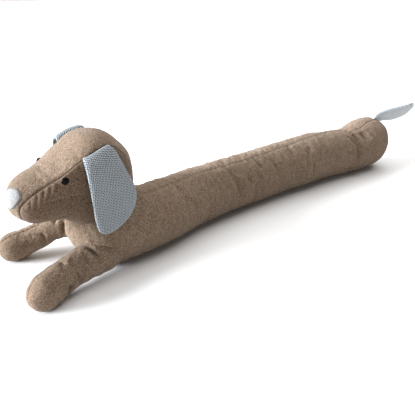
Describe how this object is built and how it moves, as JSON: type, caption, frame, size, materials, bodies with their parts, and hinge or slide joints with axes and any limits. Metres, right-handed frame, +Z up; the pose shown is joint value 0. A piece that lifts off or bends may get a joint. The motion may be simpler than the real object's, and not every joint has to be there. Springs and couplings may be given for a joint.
{
  "type": "draught excluder",
  "caption": "Stuffed wool draught excluder shaped like a long, low dachshund, with twill ears and tail, laid along the foot of a door to stop draughts",
  "frame": {"origin": "on the floor, in the middle of the flat on the underside of the body that the dog rests on", "axes": "+X runs along the body from the chest to the tail, +Y to the dog's right side, +Z up; the dog's left side faces -Y"},
  "size_m": [0.9083, 0.1747, 0.191],
  "materials": {
    "wool": "marled brown wool cloth with a soft nap",
    "twill": "pale blue-grey and white twill weave",
    "felt": "near-white felt",
    "eye": "glossy black dome"
  },
  "bodies": {
    "root": {"body": "wool", "head": "wool", "foreleg_left": "wool", "foreleg_right": "wool", "ear_left": "twill", "ear_right": "twill", "tail": "twill", "eye_left": "eye", "eye_right": "eye", "nose_patch": "felt"}
  },
  "joints": []
}
